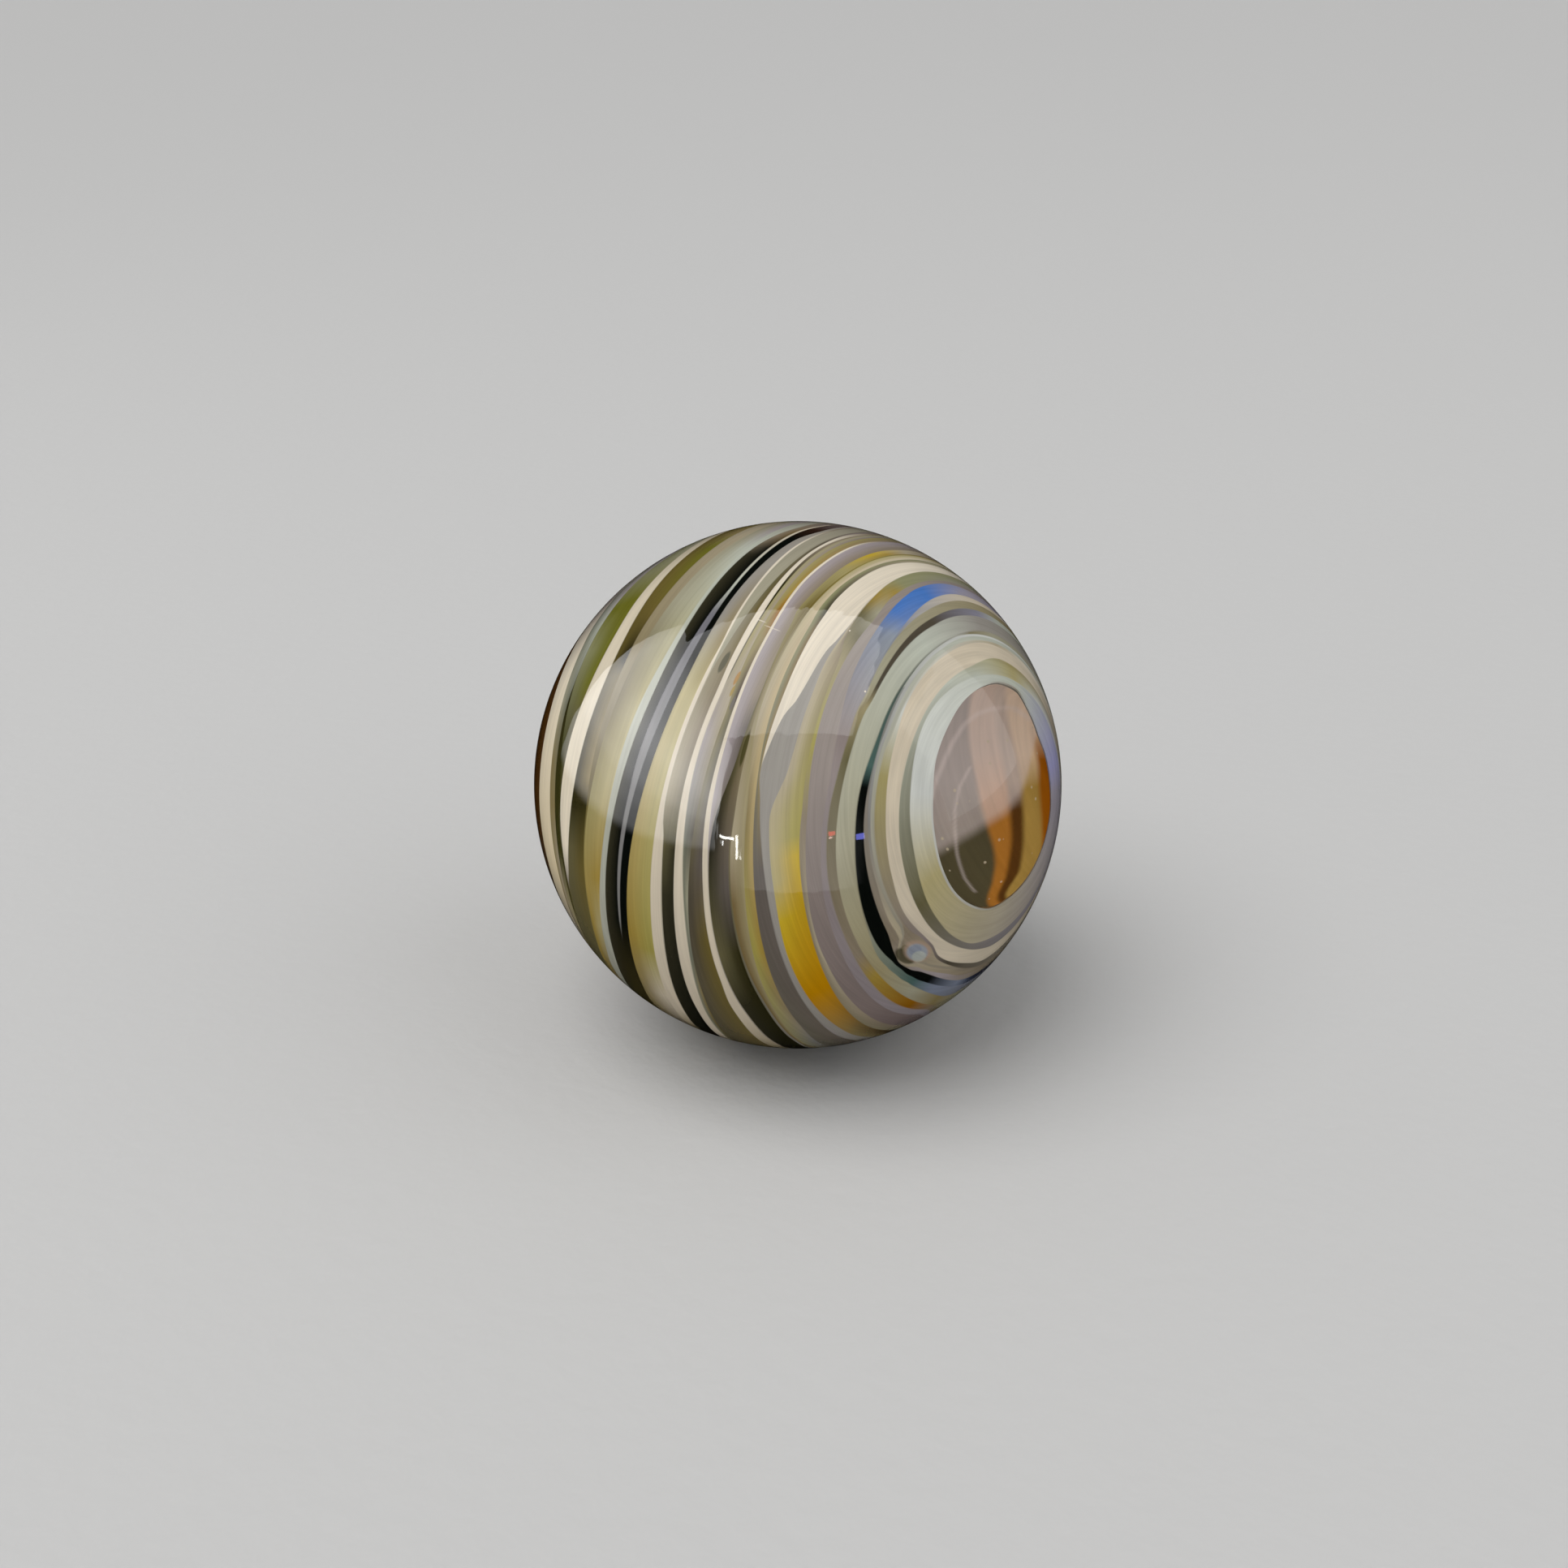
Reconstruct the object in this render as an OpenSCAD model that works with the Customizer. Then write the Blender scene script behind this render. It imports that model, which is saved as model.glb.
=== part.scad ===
// Solid glass marble, about the size of a large shooter: lines of coloured glass wound
// into a ball, and one window that a bowl of clear glass fills, fused into the winding.
// Origin at the centre of the ball, +Z up, +X the heading that the window faces.

/* [Ball] */
// Diameter of the finished ball
ball_d = 29; // [16:0.5:50]

/* [Window] */
// Angle that the middle of the window stands above level
window_lift_angle = 14; // [0:1:40]
// Angle from the middle of the window to its rim, seen from the ball's centre
window_angle = 21; // [14:1:26]
// Greatest width of the clear glass, just beneath the rim
bowl_d = 11.8; // [8:0.1:12]
// Depth of the clear glass from its widest place to its bottom
bowl_depth = 6.5; // [2:0.1:8]
// Thickness of the coloured glass that laps over the clear glass round the window
lip_thickness = 0.3; // [0.2:0.05:0.5]

/* [Winding] */
// Lean of the coils round the girdle, against the rim of the window
girdle_lean_angle = 18; // [0:1:20]
// Lean of the coils at the far end
far_lean_angle = 6; // [2:1:10]
// Side that the coils lean to, turned about the window's axis from straight down
lean_side_angle = 21; // [0:1:359]
// Angle from the window at which the coils begin to lean
lean_start_angle = 38; // [30:1:45]
// Angle from the window at which the lean is full
lean_full_angle = 92; // [88:1:95]
// Angle from the window at which the lean has died away again
lean_end_angle = 130; // [125:1:140]

/* [Hidden] */

ball_r = ball_d / 2;
// Height of the bowl's widest place, level with where that width meets the ball's skin
bowl_level = sqrt(ball_r * ball_r - bowl_d * bowl_d / 4);
far_end_angle = 180;
// How far each coil runs on beneath the next, so that they melt into one solid
melt = 0.01;
// Smoothness of the ball where it is drawn as facets
ball_facets = 96;

// The glasses, as colours of the finished surface
clear = [0.55, 0.44, 0.32, 0.6];
mint = [0.76, 0.80, 0.73];
sage = [0.58, 0.62, 0.50];
cream = [0.82, 0.78, 0.68];
ivory = [0.94, 0.88, 0.80];
khaki = [0.57, 0.54, 0.37];
olive = [0.38, 0.36, 0.20];
moss = [0.47, 0.46, 0.20];
taupe = [0.47, 0.43, 0.38];
mauve = [0.54, 0.50, 0.51];
slate = [0.30, 0.31, 0.33];
ink = [0.08, 0.09, 0.08];
amber = [0.74, 0.58, 0.14];
ochre = [0.55, 0.46, 0.24];
cobalt = [0.30, 0.42, 0.68];
brown = [0.27, 0.19, 0.15];

// Each coil in turn from the window's rim to the far end: its glass, its width as an
// angle of the ball, how much wider it is on one side and which side that is.
// The next coil is as much narrower there. Widths are stretched to fill the ball.
coils = [
    [mint, 5.0, 0.5, 330],
    [slate, 2.3, 0.5, 330],
    [cream, 2.5, 0.0, 0],
    [olive, 2.2, 0.5, 300],
    [mauve, 2.2, 0.5, 300],
    [ink, 2.8, 0.8, 320],
    [sage, 3.3, 0.4, 180],
    [cobalt, 2.0, 1.2, 170],
    [mauve, 5.0, 0.8, 290],
    [amber, 5.0, 2.4, 290],
    [ivory, 5.0, 1.6, 170],
    [ochre, 4.0, 0.5, 290],
    [taupe, 3.0, 0.4, 180],
    [ink, 5.0, 1.0, 310],
    [cream, 1.5, 0.5, 310],
    [olive, 4.5, 0.8, 200],
    [ivory, 2.7, 0.5, 310],
    [ink, 3.3, 0.8, 310],
    [ivory, 2.5, 0.5, 310],
    [khaki, 5.5, 0.6, 310],
    [ink, 1.8, 0.3, 180],
    [mauve, 1.0, 0.3, 180],
    [ink, 3.5, 0.6, 310],
    [cream, 1.8, 0.3, 310],
    [sage, 5.0, 1.0, 200],
    [moss, 4.5, 0.8, 310],
    [ivory, 3.2, 0.6, 230],
    [moss, 3.2, 0.6, 190],
    [slate, 1.8, 0.4, 300],
    [ivory, 5.0, 0.8, 260],
    [brown, 6.0, 1.0, 240],
    [khaki, 5.0, 1.0, 180],
    [ink, 3.0, 0.5, 60],
    [cream, 3.5, 1.0, 300],
    [ochre, 5.0, 1.5, 20],
    [mauve, 6.0, 1.0, 120],
    [ivory, 3.5, 1.0, 90],
    [olive, 6.0, 1.5, 60],
    [slate, 4.0, 1.0, 200],
    [mint, 7.0, 1.0, 0],
    [mauve, 9.0, 0.0, 0],
];
function glass(coil) = coil[0];
function width(coil) = coil[1];
function swell(coil) = coil[2];
function side(coil) = coil[3];

// Widths of the first coils added up, before the stretch to fit the ball
function width_before(count) =
    count == 0 ? 0 : width_before(count - 1) + width(coils[count - 1]);
stretch = (far_end_angle - window_angle) / width_before(len(coils));

// Angle from the window at which coil number `count` begins
function angle_at(count) = window_angle + stretch * width_before(count);

// A smooth step from 0 at `low` to 1 at `high`
function eased(low, high, x) =
    let (t = min(1, max(0, (x - low) / (high - low)))) t * t * (3 - 2 * t);

// Lean of the circle at an angle from the window
function lean_at(angle) =
    girdle_lean_angle * eased(lean_start_angle, lean_full_angle, angle)
    - (girdle_lean_angle - far_lean_angle) * eased(lean_full_angle, lean_end_angle, angle);

// Tips what follows by an angle towards a side
module tipped(angle, side) {
    rotate([0, 0, side]) rotate([0, angle, 0]) rotate([0, 0, -side]) children();
}

// All that lies past the plane where coil number `count` begins, or past a plane a
// little beyond it. The window is at the top here.
module past(count, beyond = 0) {
    angle = angle_at(count);
    before = count == 0 ? [0, 0, 0, 0] : coils[count - 1];
    tipped(lean_at(angle), lean_side_angle)
    tipped(stretch * swell(before), side(before))
    translate([-ball_d, -ball_d, ball_r * cos(angle) - beyond - 2 * ball_d])
    cube(2 * ball_d);
}

module ball() {
    sphere(d = ball_d, $fn = ball_facets);
}

// The bowl behind the window, beneath the lip of coloured glass
module bowl() {
    intersection() {
        sphere(r = ball_r - lip_thickness, $fn = ball_facets);
        translate([0, 0, bowl_level])
        scale([bowl_d / 2, bowl_d / 2, bowl_depth])
        sphere(r = 1, $fn = ball_facets);
    }
}

// One coil of coloured glass, as the slice of the ball that it colours
module coil(count) {
    color(glass(coils[count])) difference() {
        intersection() {
            ball();
            past(count);
        }
        if (count < len(coils) - 1) past(count + 1, melt);
    }
}

// The wound glass, one solid: the coils are melted into each other round the bowl
module marble() {
    rotate([0, 90 - window_lift_angle, 0]) difference() {
        union() {
            for (count = [0 : len(coils) - 1]) coil(count);
        }
        bowl();
    }
}

// The clear glass: the ball's skin within the window's rim, and the bowl beneath it
module window_glass() {
    rotate([0, 90 - window_lift_angle, 0]) color(clear) union() {
        difference() {
            ball();
            past(0);
        }
        bowl();
    }
}

marble();
window_glass();
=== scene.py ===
"""A glass marble wound with trails of coloured glass, with one clear window into a bowl
of banded glass behind it. Angles are degrees and sizes metres unless a name says
otherwise. A trail is placed by two angles: "across" runs from the middle of the window
over the ball to its far end, and "turn" runs round the window's axis from straight down.
"""
import math
from bisect import bisect_right
from collections import namedtuple

import bmesh
import bpy
from mathutils import Matrix, Vector


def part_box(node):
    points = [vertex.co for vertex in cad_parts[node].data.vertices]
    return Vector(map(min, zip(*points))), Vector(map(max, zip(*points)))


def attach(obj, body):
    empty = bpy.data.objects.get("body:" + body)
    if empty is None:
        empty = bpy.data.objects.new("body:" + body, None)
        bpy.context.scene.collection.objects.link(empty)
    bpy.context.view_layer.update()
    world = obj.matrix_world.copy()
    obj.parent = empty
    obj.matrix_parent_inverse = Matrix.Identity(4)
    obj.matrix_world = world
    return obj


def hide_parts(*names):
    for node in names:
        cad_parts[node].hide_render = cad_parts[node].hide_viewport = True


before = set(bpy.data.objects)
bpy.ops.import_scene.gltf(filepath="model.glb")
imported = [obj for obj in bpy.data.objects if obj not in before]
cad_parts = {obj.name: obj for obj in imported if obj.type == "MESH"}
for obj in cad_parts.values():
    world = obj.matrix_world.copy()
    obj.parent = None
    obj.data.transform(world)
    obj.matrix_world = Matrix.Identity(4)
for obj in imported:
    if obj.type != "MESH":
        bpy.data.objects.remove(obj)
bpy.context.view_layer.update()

# ---------------- sizes of the ball
MM = 0.001
UP = Vector((0, 0, 1))
low_corner, high_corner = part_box("marble")
BALL_R = (high_corner.z - low_corner.z) / 2
FLOOR_Z = low_corner.z

# The winding's lie, as in the part's source
WINDOW_LIFT = 14
GIRDLE_LEAN = 18
FAR_LEAN = 6
LEAN_SIDE = 21
LEAN_START = 38
LEAN_FULL = 92
LEAN_END = 130
FAR_END = 180
FULL_TURN = 360

# The bowl of clear glass behind the window, as in the part's source
BOWL_WIDE = 11.8 * MM
BOWL_DEEP = 6.5 * MM
LIP = 0.3 * MM

# The bowl as shares of the ball's radius: its own radius, its depth, the level that it
# hangs from and the radius under the lip. The clear glass is larger than it by FIT.
BOWL_R = BOWL_WIDE / 2 / BALL_R
BOWL_DEPTH = BOWL_DEEP / BALL_R
BOWL_LEVEL = math.sqrt(1 - BOWL_R ** 2)
LIP_UNDER = 1 - LIP / BALL_R
FIT = 0.05 * MM / BALL_R

# How far up its curve the bowl meets the underside of the lip, where a quarter of an
# ellipse crosses a circle, and how far across the ball that is
squash = BOWL_DEPTH ** 2 - BOWL_R ** 2
reach = BOWL_LEVEL * BOWL_DEPTH
BOWL_TOP = math.acos((reach - math.sqrt(reach ** 2 - squash * (1 - LIP_UNDER ** 2))) / squash)
LIP_ANGLE = math.degrees(math.asin(BOWL_R * math.sin(BOWL_TOP) / LIP_UNDER))

# How finely the ball is built
COLUMNS = 288
BOWL_ROWS = 84
CLEAR_BOWL_ROWS = 42
LIP_ROWS = 4
TUCK_ROWS = 3
WINDOW_ROWS = 14
ROW_STEP = 1.7
WIDTH_LOOKS = 36

# How far trails and bands blend at their edges, the least width that one keeps, and the
# share of a narrow trail that blending may take up
FEATHER = 0.22
LEAST_WIDTH = 0.05
MOST_MARGIN = 0.3
BAND_FEATHER = 0.008
LEAST_BAND = 0.001

# ---------------- colours of glass
# Screen colours, from 0 to 255
PALETTE = {
    # creams and pinks
    "ivory": (234, 223, 203), "bright_cream": (252, 240, 216), "bright_peach": (246, 228, 190),
    "cream": (218, 205, 182), "peach": (214, 186, 152), "rosy": (182, 156, 136),
    "dull_rose": (166, 146, 128), "salmon": (188, 144, 106), "beige": (184, 172, 146),
    "veil": (211, 198, 194),
    # mints, sages and straws
    "white_mint": (218, 220, 214), "mint": (194, 198, 184), "sage": (170, 166, 143),
    "sage_khaki": (164, 153, 117), "straw": (190, 178, 130), "straw_khaki": (168, 157, 106),
    # yellows, ambers and browns
    "yellow": (206, 176, 48), "chartreuse": (170, 160, 84), "ochre": (168, 142, 66),
    "orange_ochre": (178, 128, 40), "amber": (196, 138, 4), "amber_brown": (150, 98, 14),
    "tawny": (160, 106, 42), "russet": (148, 84, 12), "brown": (84, 54, 22), "dark_brown": (52, 34, 24),
    "khaki": (148, 132, 90), "khaki_brown": (124, 104, 66), "bowl_khaki": (160, 130, 66),
    # olives and mosses
    "olive": (112, 98, 50), "olive_dim": (108, 102, 72), "moss": (116, 116, 38),
    "moss_sage": (150, 150, 112), "bowl_moss": (76, 70, 50), "dark_moss": (66, 64, 28),
    "dark_olive": (52, 48, 22), "deep_olive": (56, 53, 38),
    # inks and blues
    "ink": (12, 15, 12), "navy": (38, 44, 66), "teal": (78, 104, 98), "slate_green": (122, 124, 108),
    "slate_blue": (130, 138, 156), "pale_blue": (156, 164, 174), "cobalt": (78, 126, 200),
    "soft_cobalt": (110, 138, 192), "storm": (122, 121, 128),
    # violets, greys and mauves
    "bright_violet": (172, 170, 212), "slate_violet": (142, 140, 154), "lavender": (166, 160, 172),
    "lilac": (172, 162, 164), "lilac_pink": (158, 148, 140), "ash": (160, 155, 147),
    "grey": (140, 138, 134), "mauve": (144, 132, 128), "dark_mauve": (128, 113, 110),
    "slate_mauve": (104, 96, 90), "taupe": (146, 133, 113), "dark_taupe": (84, 77, 65),
}


def linear(byte):
    """The light that a screen colour from 0 to 255 stands for."""
    share = byte / 255
    return share / 12.92 if share <= 0.04045 else ((share + 0.055) / 1.055) ** 2.4


GLASS = {name: Vector([linear(byte) for byte in screen]) for name, screen in PALETTE.items()}

# ---------------- the trails of glass
# edge: how far across the ball the trail's far edge lies, at chosen turns round it.
# wide: for a thin thread, its width instead. glass: its colours at chosen turns.
# far: its colours along its far edge, where they change across the trail.
Trail = namedtuple("Trail", "name edge wide glass far", defaults=(None,) * 4)

WINDOW_RIM = {0: 22, 30: 21, 60: 20, 85: 18.8, 110: 18.8, 130: 21.5, 142: 23.8, 155: 23.9, 170: 23.3,
              190: 22.4, 210: 21.4, 230: 20.9, 250: 20.1, 270: 20.2, 290: 20.8, 310: 21.6, 330: 22.2,
              345: 22.6}

TRAILS = (
    # The first trail is a thin pale line round the window's rim, partly pale glass and partly a painted
    # highlight along the rim's edge.
    Trail("lip_bead",
          wide={0: 0.1, 130: 0.1, 145: 0.5, 190: 0.1, 290: 0.6, 330: 0.5},
          glass={130: "taupe", 200: "white_mint"}),
    Trail("lip",
          edge={0: 31, 71: 29, 110: 27, 175: 25.6, 210: 26.2, 250: 25.2, 270: 25.3, 310: 27.8, 330: 29.8,
                345: 31},
          glass={75: "lavender", 90: "bright_violet", 142: "mint", 248: "white_mint", 292: "straw"}),
    Trail("straw_thread",
          edge={0: 34, 100: 30, 150: 29.9, 175: 27.8, 225: 26.9, 270: 27.9, 330: 31.4, 350: 33.2},
          glass={60: "lavender", 120: "white_mint", 142: "straw", 172: "mint", 300: "olive_dim"},
          far={60: "lavender", 144: "straw_khaki", 190: "mint", 300: "olive_dim"}),
    Trail("cream",
          edge={0: 38.2, 60: 34, 110: 33, 150: 33.2, 185: 31.9, 215: 30.9, 230: 30.2, 250: 30.1, 280: 31,
                300: 32.1, 312: 32.2, 320: 32.8, 328: 34.7, 345: 36.4},
          glass={0: "cream", 70: "taupe", 125: "cream"}),
    Trail("olive_thread",
          edge={0: 40, 60: 38, 110: 35, 170: 33.2, 185: 32.3, 225: 31.2, 235: 31.7, 306: 33.3, 313: 32.9,
                320: 33.4, 328: 35.4, 338: 36.7, 350: 38.6},
          glass={130: "ivory", 150: "beige", 215: "white_mint", 243: "straw_khaki", 316: "mauve",
                 335: "dark_taupe"}),
    Trail("bubble_skirt",
          wide={0: 0.1, 290: 0.1, 301: 0.3, 306: 1.3, 310: 4, 314: 5.7, 318: 5.2, 324: 2.6, 332: 0.9,
                342: 0.1},
          glass={0: "taupe", 130: "cream", 308: "taupe", 340: "beige"}),
    Trail("ash_thread",
          wide={0: 0.6, 170: 0.9, 250: 0.7, 300: 0.7, 312: 0.3, 345: 0.8},
          glass={0: "taupe", 150: "mint"}),
    Trail("pale_thread",
          wide={0: 0.6, 150: 0.5, 200: 0.65, 280: 0.5, 300: 1.2, 312: 0.5, 325: 1.2, 345: 1.2},
          glass={0: "taupe", 150: "white_mint", 260: "grey", 300: "beige"}),
    Trail("grey_thread",
          edge={0: 43, 60: 44, 110: 38, 150: 36.5, 170: 34.9, 185: 33.6, 230: 33.1, 260: 34.6, 300: 36.8,
                311: 38.9, 316: 39.7, 321: 39.7, 326: 39.3},
          glass={0: "taupe", 150: "sage", 172: "olive", 185: "mint", 215: "grey", 305: "taupe",
                 335: "lilac"}),
    Trail("ink_ring",
          wide={0: 2, 60: 0.6, 140: 0.1, 225: 0.6, 250: 1.5, 260: 1.6, 300: 3, 316: 0.8, 322: 1.3, 328: 2,
                345: 1.8},
          glass={60: "taupe", 150: "ash", 175: "dark_taupe", 240: "teal", 247: "ink", 333: "ink",
                 349: "slate_blue", 358: "navy"}),
    Trail("teal_ring",
          wide={0: 2.4, 20: 2, 60: 0.5, 100: 0.1, 285: 0.1, 295: 0.3, 312: 1.5, 322: 1.5, 340: 2.4,
                350: 3},
          glass={60: "taupe", 285: "sage", 326: "teal", 338: "slate_blue"}),
    Trail("sage_band",
          edge={0: 54, 60: 50, 110: 44, 170: 39.2, 180: 38.4, 217: 37.2, 225: 37.7, 235: 38, 275: 41.2,
                315: 44.2, 345: 48.7},
          glass={0: "sage", 155: "ash", 188: "mint", 312: "sage_khaki", 330: "sage", 345: "khaki"}),
    Trail("taupe_thread",
          edge={0: 56, 60: 52, 110: 46, 160: 42, 180: 39.9, 217: 37.9, 225: 38.6, 245: 40, 255: 41.2,
                275: 43.1, 295: 44.3, 335: 48.9, 345: 50.2},
          glass={0: "khaki", 140: "mint", 152: "slate_violet", 178: "dark_taupe", 214: "dark_taupe",
                 222: "sage_khaki", 240: "olive_dim", 302: "taupe", 312: "ochre", 335: "amber_brown",
                 348: "taupe"}),
    Trail("yellow_thread",
          wide={0: 0.1, 100: 1, 130: 2.6, 150: 2.7, 170: 2.3, 220: 0.9, 235: 0.1},
          glass={100: "khaki", 212: "sage", 230: "khaki"}),
    Trail("straw_fill",
          wide={0: 0.1, 130: 1.5, 150: 2, 162: 2.4, 170: 2.2, 191: 0.5, 212: 0.1},
          glass={150: "cream", 200: "slate_blue"}),
    Trail("blue_flame",
          edge={0: 58, 60: 55, 110: 53.5, 150: 51.5, 160: 51.2, 175: 49.5, 180: 48.4, 197: 45.2,
                215: 43.2, 235: 41.5, 245: 41.4, 255: 42.3, 280: 45, 295: 46.2, 330: 50.2, 345: 52},
          glass={155: "lavender", 172: "cobalt", 187: "soft_cobalt", 195: "pale_blue", 232: "mauve"},
          far={150: "lavender", 172: "cobalt", 187: "cobalt", 198: "slate_blue", 232: "mauve"}),
    Trail("mauve_band",
          edge={0: 60, 60: 57, 110: 55, 150: 53, 165: 52.3, 183: 50.2, 197: 47.4, 252: 45.8, 260: 46.3,
                290: 49.3, 300: 50.1, 345: 56},
          glass={203: "lilac_pink", 345: "dark_mauve"}),
    Trail("moss_band",
          edge={0: 63, 60: 60, 110: 58.5, 150: 57.2, 165: 56.9, 180: 55.2, 190: 53.2, 206: 50, 210: 48.6,
                216: 47.5, 235: 46.8, 252: 47, 260: 47.7, 285: 49.7, 330: 55.8, 345: 58.2},
          glass={140: "ash", 177: "moss_sage", 182: "ochre", 192: "sage", 203: "olive_dim",
                 212: "sage_khaki", 236: "chartreuse", 256: "taupe", 292: "beige", 335: "taupe"},
          far={178: "moss_sage", 188: "ochre", 196: "olive_dim", 214: "sage_khaki", 236: "chartreuse",
               256: "taupe"}),
    Trail("amber_band",
          edge={0: 66, 60: 63, 150: 57.3, 190: 53.3, 206: 51.2, 212: 51.2, 225: 50.5, 235: 50.6,
                243: 51.3, 255: 54.9, 270: 54.8, 290: 56.1, 320: 58.2, 330: 59.4, 345: 61.2},
          glass={60: "khaki", 150: "sage", 206: "taupe", 260: "chartreuse", 265: "yellow", 304: "amber",
                 326: "khaki_brown", 345: "dark_brown"},
          far={246: "beige", 270: "straw", 280: "yellow", 304: "amber", 330: "khaki"}),
    Trail("lilac_thread",
          edge={0: 68, 60: 65, 110: 61, 190: 53.4, 202: 51.7, 207: 51.9, 211: 52.7, 220: 53.2, 226: 54.2,
                230: 56.2, 236: 57.6, 243: 58.8, 250: 57.6, 270: 56.4, 320: 59.7, 330: 61.2, 345: 63},
          glass={212: "ash"}),
    Trail("ivory_tear",
          edge={0: 68.2, 60: 65.5, 110: 62, 150: 61, 160: 61.8, 180: 63, 197: 62, 203: 60.9, 228: 58.7,
                243: 58.9, 250: 57.7, 270: 56.5, 300: 57.9, 330: 61.3, 345: 63.1},
          glass={120: "ash", 155: "ivory", 240: "ivory", 248: "lilac"}),
    Trail("slate_band",
          edge={0: 73, 110: 66, 150: 63.2, 165: 64.2, 192: 65.1, 200: 64.6, 207: 62.9, 222: 61.2,
                256: 58.9, 310: 62.4, 330: 65.8, 345: 68.5},
          glass={140: "taupe", 160: "beige", 202: "deep_olive", 208: "khaki_brown", 248: "khaki",
                 266: "slate_mauve"},
          far={202: "moss_sage", 270: "slate_mauve"}),
    Trail("ochre_band",
          edge={0: 76, 60: 74, 110: 70, 150: 66.5, 180: 67.7, 202: 67.2, 212: 66, 230: 64.2, 252: 61,
                300: 63.9, 330: 68, 345: 70.5},
          glass={0: "khaki", 140: "sage", 160: "cream", 285: "ochre", 325: "grey"},
          far={175: "straw", 228: "beige", 252: "khaki", 285: "chartreuse", 345: "grey"}),
    Trail("khaki_thread",
          edge={0: 77, 60: 75.5, 110: 71.5, 150: 67.6, 180: 68.2, 200: 68.2, 212: 67, 232: 65, 240: 64.3,
                250: 64.3, 260: 64.8, 298: 65, 320: 67, 330: 68.8, 345: 71.3},
          glass={150: "khaki", 180: "chartreuse", 203: "olive", 212: "sage_khaki"},
          far={150: "khaki", 203: "olive", 258: "beige", 272: "khaki_brown"}),
    Trail("silver_thread",
          wide={0: 0.1, 250: 0.1, 262: 0.35, 320: 0.5},
          glass={180: "straw", 270: "olive_dim", 345: "ash"}),
    Trail("broad_ink_band",
          edge={0: 80, 60: 79, 110: 76, 150: 72, 165: 71, 175: 71.6, 185: 71.6, 195: 71.1, 204: 71,
                208: 69.5, 228: 66.3, 240: 66.8, 255: 70.1, 260: 70.4, 302: 70, 320: 71.3, 330: 72.8,
                345: 75},
          glass={0: "ink", 110: "khaki", 150: "mauve", 165: "beige", 172: "ochre", 188: "straw_khaki",
                 203: "olive", 222: "khaki", 268: "slate_mauve", 284: "dark_olive"},
          far={165: "beige", 177: "yellow", 188: "straw_khaki", 256: "ink", 284: "olive_dim",
               300: "deep_olive", 345: "ink"}),
    Trail("mauve_wedge",
          edge={0: 81, 110: 79.5, 165: 77.2, 175: 77.7, 195: 76.8, 215: 73.6, 240: 71.4, 250: 71.2,
                270: 70.4, 302: 70.2, 320: 71.5, 330: 73, 345: 75.2},
          glass={226: "taupe", 234: "slate_mauve", 256: "lilac_pink"},
          far={222: "lilac"}),
    Trail("cream_thread",
          wide={0: 0.5, 110: 0.2, 165: 0.4, 178: 0.7, 230: 1, 260: 1.4, 290: 1.4, 300: 2, 322: 2.2,
                335: 1.5},
          glass={165: "taupe", 180: "ivory", 305: "cream", 335: "khaki"}),
    Trail("olive_band",
          edge={0: 84, 110: 83, 150: 80.5, 165: 80.5, 180: 81, 226: 75.6, 232: 74.8, 290: 76.6, 335: 82},
          glass={160: "taupe", 201: "ochre", 207: "amber_brown", 214: "khaki", 228: "dark_brown",
                 231: "olive_dim", 262: "slate_mauve", 280: "olive"},
          far={201: "straw_khaki", 270: "dark_taupe"}),
    Trail("straw_band",
          edge={0: 86, 60: 86, 110: 85, 150: 83, 165: 82.4, 180: 82.8, 226: 78.6, 235: 78.6, 275: 76.7,
                310: 79.5, 320: 81, 335: 83},
          glass={165: "mauve", 233: "beige", 256: "dark_taupe", 270: "sage", 284: "slate_green",
                 295: "khaki", 315: "olive"},
          far={150: "sage", 215: "straw_khaki", 236: "lilac", 258: "slate_green"}),
    Trail("moss_thread",
          wide={0: 0.1, 150: 0.1, 190: 0.9, 212: 0.4, 222: 0.4, 228: 0.1},
          glass={0: "olive", 182: "taupe", 200: "dark_olive", 226: "dark_olive", 250: "slate_green"}),
    Trail("ivory_thread",
          edge={0: 87, 60: 87, 110: 86, 150: 84, 165: 84, 175: 84.6, 185: 84.4, 220: 80.9, 228: 80.2,
                245: 80.1, 267: 79.3, 300: 80.4, 330: 84},
          glass={165: "taupe", 180: "ivory", 316: "cream", 330: "khaki"}),
    Trail("short_ink_band",
          edge={0: 90, 60: 89.5, 110: 88, 165: 85.4, 180: 85.3, 217: 84, 225: 84.3, 250: 84, 255: 83.5,
                258: 82.8, 270: 82.3, 300: 84, 330: 88},
          glass={0: "olive", 170: "mauve", 182: "dark_taupe", 216: "olive", 236: "taupe",
                 256: "olive_dim", 260: "deep_olive", 312: "ink"},
          far={150: "mauve", 200: "olive_dim", 248: "beige", 258: "olive_dim", 270: "deep_olive",
               345: "ink"}),
    Trail("mauve_gap",
          edge={0: 90.2, 110: 89.5, 150: 88.5, 183: 88.7, 200: 87.4, 228: 84.4, 250: 84.1, 262: 82.5,
                280: 82.8, 300: 84.1, 330: 88.1},
          glass={0: "mauve", 235: "sage", 300: "cream"}),
    Trail("thin_ivory_thread",
          edge={0: 91, 110: 90, 150: 89, 183: 89.2, 210: 86.8, 220: 85.5, 270: 85.2, 290: 85.9, 335: 90},
          glass={172: "taupe", 186: "ivory", 305: "cream", 318: "khaki"}),
    Trail("straw_sash",
          edge={0: 95, 60: 94, 175: 90, 185: 91, 205: 90.5, 228: 89.2, 265: 90.9, 297: 92.8, 310: 94.5,
                330: 96},
          glass={0: "khaki", 195: "ash", 217: "khaki", 230: "straw", 285: "chartreuse", 300: "cream",
                 315: "taupe"},
          far={212: "ash", 230: "straw", 282: "ochre", 300: "khaki"}),
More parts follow.
